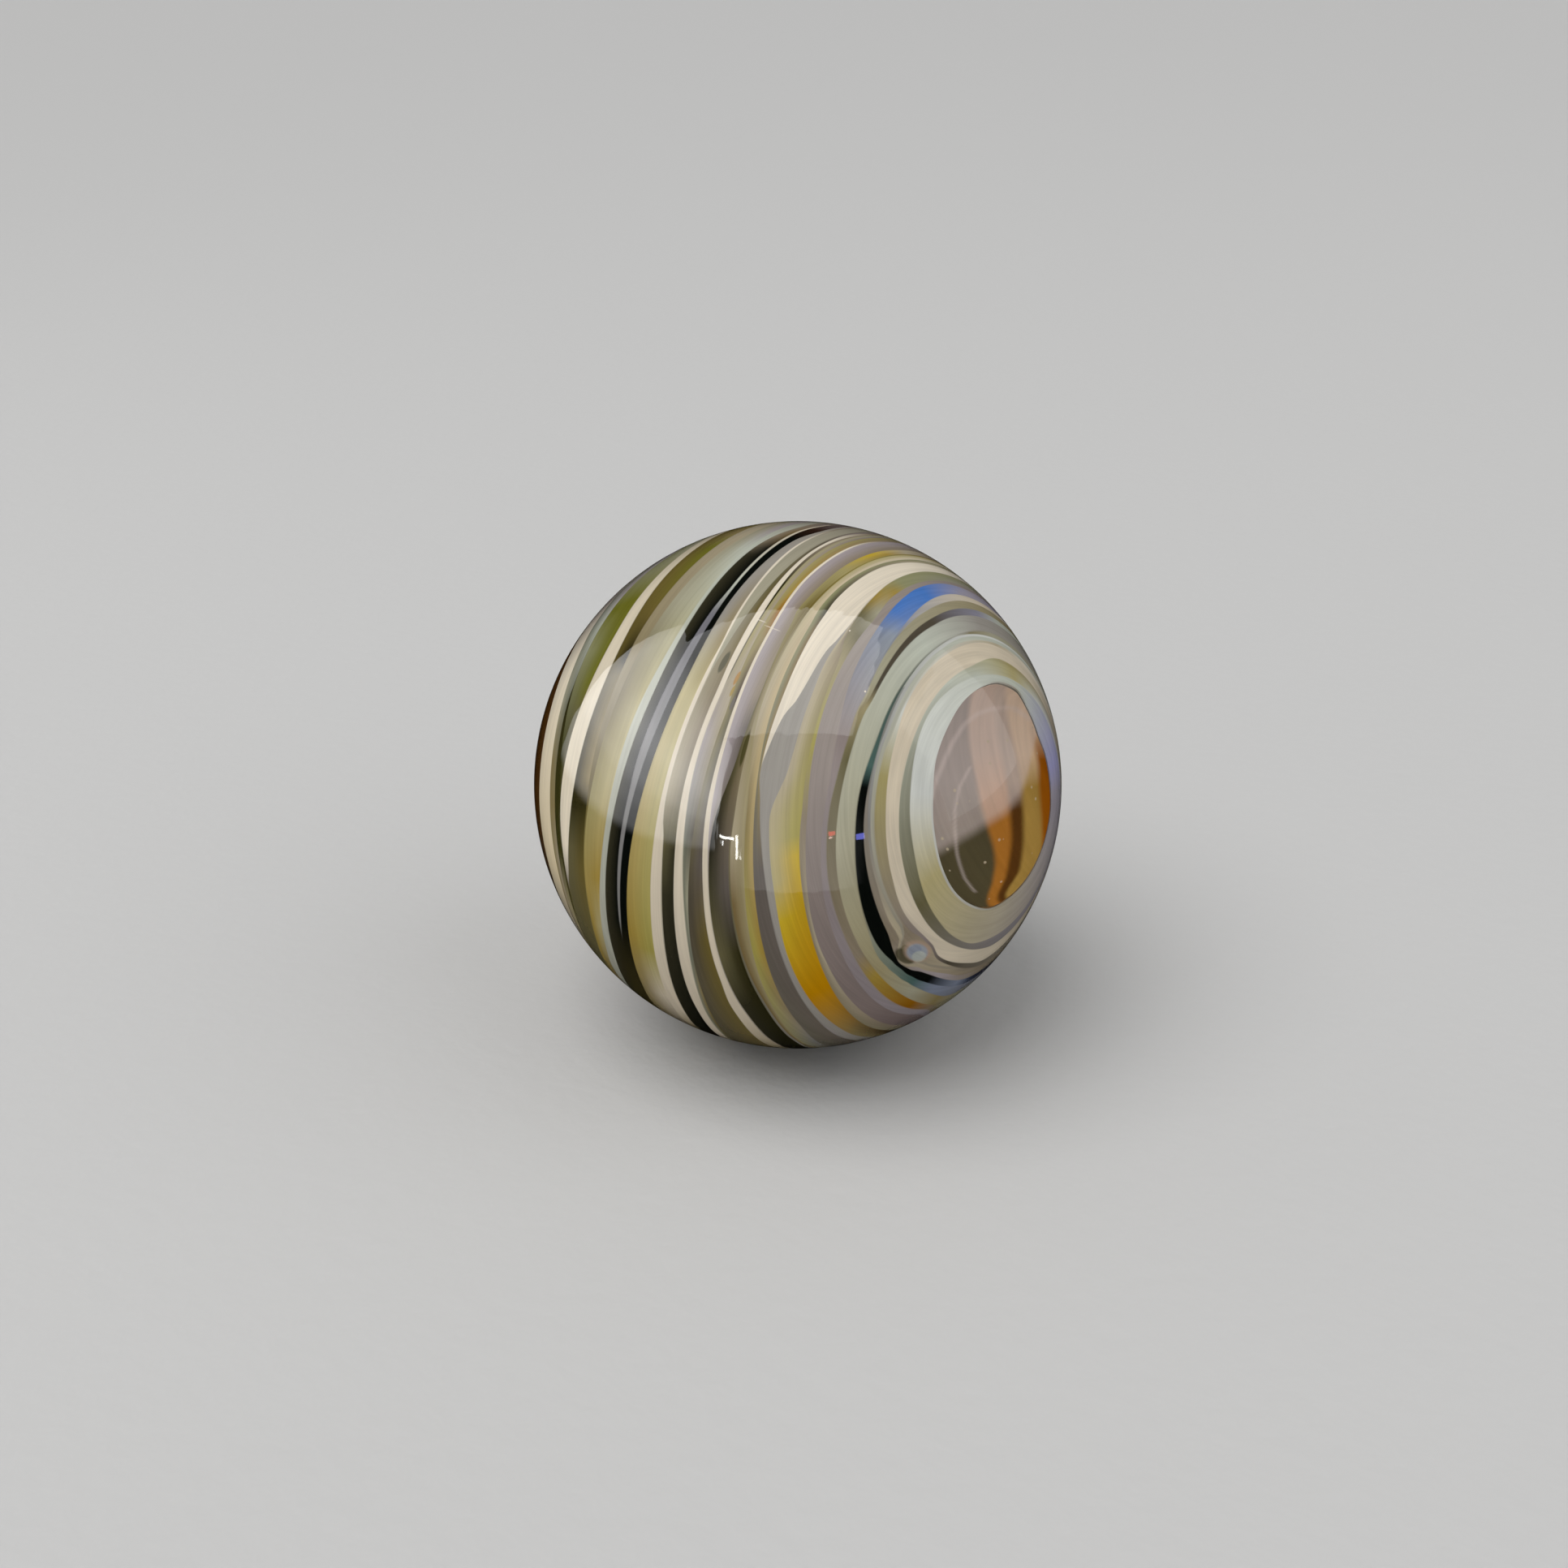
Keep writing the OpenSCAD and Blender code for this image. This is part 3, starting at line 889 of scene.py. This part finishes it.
class Finish:
    """A material and the nodes in it."""

    def __init__(self, name):
        self.material = bpy.data.materials.new(name)
        self.material.use_nodes = True
        self.tree = self.material.node_tree
        self.tree.nodes.clear()

    def add(self, kind, inputs, **settings):
        """A new node. Inputs are numbers, colours or other nodes' sockets."""
        node = self.tree.nodes.new("ShaderNode" + kind)
        for name, setting in settings.items():
            setattr(node, name, setting)
        for key, value in inputs.items():
            if isinstance(value, bpy.types.NodeSocket):
                self.tree.links.new(value, node.inputs[key])
            else:
                node.inputs[key].default_value = value
        return node

    def shown(self, shader):
        """The material, with that shader on its surface."""
        self.add("OutputMaterial", {"Surface": shader.outputs[0]})
        return self.material

    def mark(self, name, output):
        """What is kept on the mesh's vertices under that name."""
        return self.add("Attribute", {}, attribute_name=name).outputs[output]

    def place(self):
        """Where a point lies on its own object."""
        return self.add("TexCoord", {}).outputs["Object"]

    def softened(self, value, span, at_low, at_high):
        """A smooth change from one number to another as a value crosses a span."""
        node = self.add("MapRange", {"Value": value, "From Min": span[0], "From Max": span[1],
                                     "To Min": at_low, "To Max": at_high},
                        interpolation_type="SMOOTHSTEP")
        return node.outputs["Result"]

    def maths(self, operation, first, second):
        """The outcome of a step of maths on two numbers."""
        return self.add("Math", {0: first, 1: second}, operation=operation).outputs[0]

    def over(self, share, under, colour):
        """One colour laid over another by a share."""
        node = self.add("Mix", {MIX_SHARE: share, MIX_UNDER: under, MIX_OVER: colour},
                        data_type="RGBA")
        return node.outputs[MIX_COLOUR]

    def vector(self, operation, inputs):
        """A new step of vector maths."""
        return self.add("VectorMath", inputs, operation=operation)

    def scaled(self, vector, factors):
        """The vector with each part multiplied."""
        return self.vector("MULTIPLY", {0: vector, 1: factors}).outputs[0]

    def tinted(self, colour, factor):
        """The colour made lighter or darker by a number."""
        return self.vector("SCALE", {0: colour, "Scale": factor}).outputs[0]

    def spotted(self, grain, under, spot):
        """A colour with a soft-edged mark laid over it."""
        away = self.vector("SUBTRACT", {0: grain, 1: grain_at(spot.across, spot.turn)})
        long = 1 / math.radians(spot.long)
        away = self.scaled(away.outputs[0], (1 / math.radians(spot.wide), long, long))
        reach = self.vector("LENGTH", {0: away}).outputs["Value"]
        share = self.softened(reach, (MARK_WHOLE, MARK_GONE), spot.strength, 0.0)
        return self.over(share, under, (*GLASS[spot.glass], 1.0))

    def noise(self, place, scale, detail, roughness=0.5):
        """Cloudy noise from 0 to 1."""
        return self.add("TexNoise", {"Vector": place, "Scale": scale, "Detail": detail,
                                     "Roughness": roughness}).outputs["Fac"]

    def streaked(self, grain, streaks):
        """How light the streaks leave the glass, round 1, and the last of them."""
        shade = 1.0
        for streak in streaks:
            noise = self.noise(self.scaled(grain, streak.grain), 1.0, streak.detail,
                               streak.roughness)
            change = self.maths("MULTIPLY", self.maths("SUBTRACT", noise, 0.5), streak.shade)
            shade = self.maths("ADD", shade, change)
        return shade, noise

    def bump(self, height, strength, distance):
        """Normals that follow a height."""
        node = self.add("Bump", {"Height": height, "Strength": strength,
                                 "Distance": distance})
        return node.outputs["Normal"]

    def principled(self, **inputs):
        """The shader of glass and ground. Its inputs go by name, with _ for a space."""
        return self.add("BsdfPrincipled",
                        {name.replace("_", " "): value for name, value in inputs.items()})


def wound_glass():
    """Opaque coloured glass with fine streaks along the trails and a fire-polished skin."""
    finish = Finish("wound_glass")
    grain = finish.mark("grain", "Vector")
    shade, clouds = finish.streaked(grain, TRAIL_STREAKS)
    painted = finish.mark("glass", "Color")
    for spot in SPOTS:
        painted = finish.spotted(grain, painted, spot)
    return finish.shown(finish.principled(
        Base_Color=finish.tinted(painted, shade), Roughness=SKIN_ROUGHNESS, IOR=GLASS_IOR,
        Normal=finish.bump(clouds, SKIN_WAVE, SKIN_WAVE_DEEP)))


def bowl_glass():
    """The coloured glass round the bowl, with tiny bubbles. The clear glass is fused to
    it, so it has no gloss of its own, and it has a painted glow, an emission that stands in for light
    coming through the coloured glass."""
    finish = Finish("bowl_glass")
    shade, _ = finish.streaked(finish.mark("grain", "Vector"), BOWL_STREAKS)
    glass = finish.tinted(finish.mark("glass", "Color"), shade)
    seeds = finish.add("TexVoronoi", {"Vector": finish.place(), "Scale": SEED_SCALE})
    dots = finish.softened(seeds.outputs["Distance"], SEED_REACH, SEED_SHARE, 0.0)
    picked = finish.softened(seeds.outputs["Color"], SEED_PICK, 0.0, 1.0)
    glass = finish.over(finish.maths("MULTIPLY", dots, picked), glass, (*GLASS["beige"], 1.0))
    # The emission is a painted glow, standing in for light that comes through the coloured glass.
    return finish.shown(finish.principled(
        Base_Color=glass, Roughness=WALL_ROUGHNESS, Specular_IOR_Level=0.0,
        Emission_Color=glass, Emission_Strength=PAINTED_WALL_GLOW))


def clear_glass():
    """The window. Shadow rays pass straight through, so lamps light the bowl behind it."""
    finish = Finish("clear_glass")
    glass = finish.principled(Base_Color=CLEAR_TINT, Roughness=0.0, IOR=GLASS_IOR,
                              Transmission_Weight=1.0)
    open_way = finish.add("BsdfTransparent", {})
    rays = finish.add("LightPath", {})
    return finish.shown(finish.add("MixShader", {0: rays.outputs["Is Shadow Ray"],
                                                 1: glass.outputs[0],
                                                 2: open_way.outputs[0]}))


def pale_ground():
    """The plain ground that the ball stands on."""
    finish = Finish("pale_ground")
    flecks = finish.noise(finish.place(), GROUND_FLECKS, FLECK_DETAIL)
    return finish.shown(finish.principled(
        Base_Color=GROUND_TONE, Roughness=GROUND_ROUGHNESS,
        Normal=finish.bump(flecks, FLECK_BUMP, FLECK_DEEP)))


# ---------------- lamps and ground
# A gloss lamp shows only as a reflection. It stands off the ball at a heading and height
# and faces it, and it is wide by tall and tilted.
Lamp = namedtuple("Lamp", "name heading lift wide tall tilt light tint")

LAMP_REACH = 0.5
GLOSS_LAMPS = (
    Lamp("right_haze", 36, 20, 0.42, 0.4, 0, 0.7, (1, 1, 1)),
    Lamp("bar_across", -77.2, 1.4, 0.069, 0.009, -4, 26, (1, 1, 0.95)),
    Lamp("bar_upright", -72.4, -1.9, 0.0075, 0.082, -2.2, 22, (1, 1, 0.95)),
    Lamp("bar_foot", -78.9, -1, 0.0075, 0.018, 0, 22, (1, 1, 1)),
    Lamp("bar_glow", -79.8, -0.6, 0.02, 0.014, 0, 2.5, (0.95, 1, 0.95)),
    Lamp("red_spark", -35.8, 5.3, 0.017, 0.016, 0, 9, (1, 0.05, 0.05)),
    Lamp("red_foot", -36, 3.5, 0.011, 0.008, 20, 12, (1, 0.6, 0.55)),
    Lamp("blue_spark", -24, 2.9, 0.026, 0.024, 0, 12, (0.24, 0.26, 1)),
)

# Broad panels seen only in the gloss, in metres: ahead of the ball towards the camera,
# aside to the camera's right and up. Near and far are opposite corners. Run gives the
# share of light along the panel and rise the share up it, each by the share of the way.
Panel = namedtuple("Panel", "name near far light run rise")

EVEN = {0: 1, 1: 1}
PANELS = (
    Panel("ceiling", (-0.08, -0.271, 0.35), (0.335, 0.19, 0.35), 2.0, EVEN, EVEN),
    Panel("window_wall", (-0.16, -0.271, -0.045), (0.42, -0.271, 0.35), 5.4,
          {0: 0.5, 0.08: 0.8, 0.3: 1, 0.7: 1, 1: 0.85},
          {0: 0, 0.06: 0.33, 0.107: 0.38, 0.19: 0.52, 0.284: 0.78, 0.45: 1, 0.637: 0.8,
           0.772: 0.66, 1: 0.42}),
    Panel("front", (0.335, -0.17, -0.117), (0.335, 0.17, 0.35), 0.8,
          {0: 0, 0.25: 1, 0.75: 1, 1: 0}, EVEN),
)

# Soft suns light the glass from far off and aren't seen in its gloss.
Sun = namedtuple("Sun", "name heading lift light spread tint")

SUNS = (
    Sun("key", -100, 62, 1.5, 50, (1, 0.99, 0.97)),
    Sun("side", 20, 35, 0.5, 60, (0.98, 0.99, 1)),
)
SURROUNDINGS = 0.35


def make_suns():
    """The soft suns, aimed at the ball."""
    for sun in SUNS:
        data = bpy.data.lights.new(sun.name, "SUN")
        data.energy = sun.light
        data.angle = math.radians(sun.spread)
        data.color = sun.tint
        lamp = in_scene(sun.name, data)
        inward = -heading_and_lift(sun.heading, sun.lift)
        lamp.rotation_euler = inward.to_track_quat("-Z", "Y").to_euler()
        lamp.visible_glossy = False


def gloss_light(name, spot, across, up, size, light, tint):
    """An area lamp seen only in the gloss, as bright as "light" wherever it is seen."""
    data = bpy.data.lights.new(name, "AREA")
    data.shape = "RECTANGLE"
    data.size, data.size_y = size
    data.energy = light * math.pi * size[0] * size[1]
    data.color = tint
    lamp = in_scene(name, data)
    lamp.location = spot
    lamp.rotation_euler = Matrix((across, up, across.cross(up))).transposed().to_euler()
    lamp.visible_camera = False
    lamp.visible_diffuse = False
    return data


def make_gloss_lamps():
    """The lamps behind the small bright reflections."""
    for lamp in GLOSS_LAMPS:
        outward = heading_and_lift(lamp.heading, lamp.lift)
        across = UP.cross(outward).normalized()
        across = Matrix.Rotation(math.radians(lamp.tilt), 3, outward) @ across
        gloss_light(lamp.name, outward * LAMP_REACH, across, outward.cross(across),
                    (lamp.wide, lamp.tall), lamp.light, lamp.tint)


def fill_ramp(ramp, stops):
    """Sets a ramp of grey to the given shares."""
    ramp.interpolation = "EASE"
    for number, (spot, share) in enumerate(stops.items()):
        if number < len(ramp.elements):
            stop = ramp.elements[number]
            stop.position = spot
        else:
            stop = ramp.elements.new(spot)
        stop.color = (share, share, share, 1)


def vary_light(data, run, rise):
    """Lets a panel's light change along it and up it."""
    data.use_nodes = True
    tree = data.node_tree
    place = tree.nodes.new("ShaderNodeNewGeometry").outputs["Parametric"]
    parts = tree.nodes.new("ShaderNodeSeparateXYZ")
    both = tree.nodes.new("ShaderNodeVectorMath")
    both.operation = "MULTIPLY"
    tree.links.new(place, parts.inputs[0])
    for axis, stops in enumerate((run, rise)):
        ramp = tree.nodes.new("ShaderNodeValToRGB")
        fill_ramp(ramp.color_ramp, stops)
        tree.links.new(parts.outputs[axis], ramp.inputs[0])
        tree.links.new(ramp.outputs[0], both.inputs[axis])
    tree.links.new(both.outputs[0], tree.nodes["Emission"].inputs["Color"])


def make_panels():
    """The broad panels, turned to face the ball."""
    ahead = heading_and_lift(CAMERA_HEADING, 0)
    room = Matrix((ahead, UP.cross(ahead), UP)).transposed()
    for panel in PANELS:
        near = Vector(panel.near)
        far = Vector(panel.far)
        size = far - near
        run = Vector((0, 1, 0)) if size.y > 0 else Vector((1, 0, 0))
        rise = UP if size.z > 0 else Vector((1, 0, 0))
        if run.cross(rise).dot(near) < 0:
            run = -run
        data = gloss_light(panel.name, room @ ((near + far) / 2), room @ run, room @ rise,
                           (abs(size.dot(run)), size.dot(rise)), panel.light, (1, 1, 1))
        vary_light(data, panel.run, panel.rise)


def make_surroundings():
    """An even grey all round that lights the ball but isn't seen in its gloss."""
    world = bpy.data.worlds.new("surroundings")
    world.use_nodes = True
    grey = world.node_tree.nodes["Background"]
    grey.inputs["Color"].default_value = (1, 1, 1, 1)
    grey.inputs["Strength"].default_value = SURROUNDINGS
    world.cycles_visibility.glossy = False
    bpy.context.scene.world = world


def make_ground(material):
    """A broad flat ground under the ball, kept out of its gloss."""
    bm = bmesh.new()
    bmesh.ops.create_grid(bm, x_segments=2, y_segments=2, size=GROUND_SIZE / 2)
    ground = new_piece("ground", bm, [material])
    ground.location = (0, 0, FLOOR_Z)
    ground.visible_glossy = False


# ---------------- everything in place
wound = make_wound_glass([wound_glass(), bowl_glass()])
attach(wound, "root")
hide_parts("marble")

window = make_window_glass(clear_glass())
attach(window, "root")
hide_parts("window_glass")

make_ground(pale_ground())
make_suns()
make_gloss_lamps()
make_panels()
make_surroundings()
bpy.context.scene.view_settings.view_transform = "Standard"
bpy.context.scene.cycles.use_denoising = True
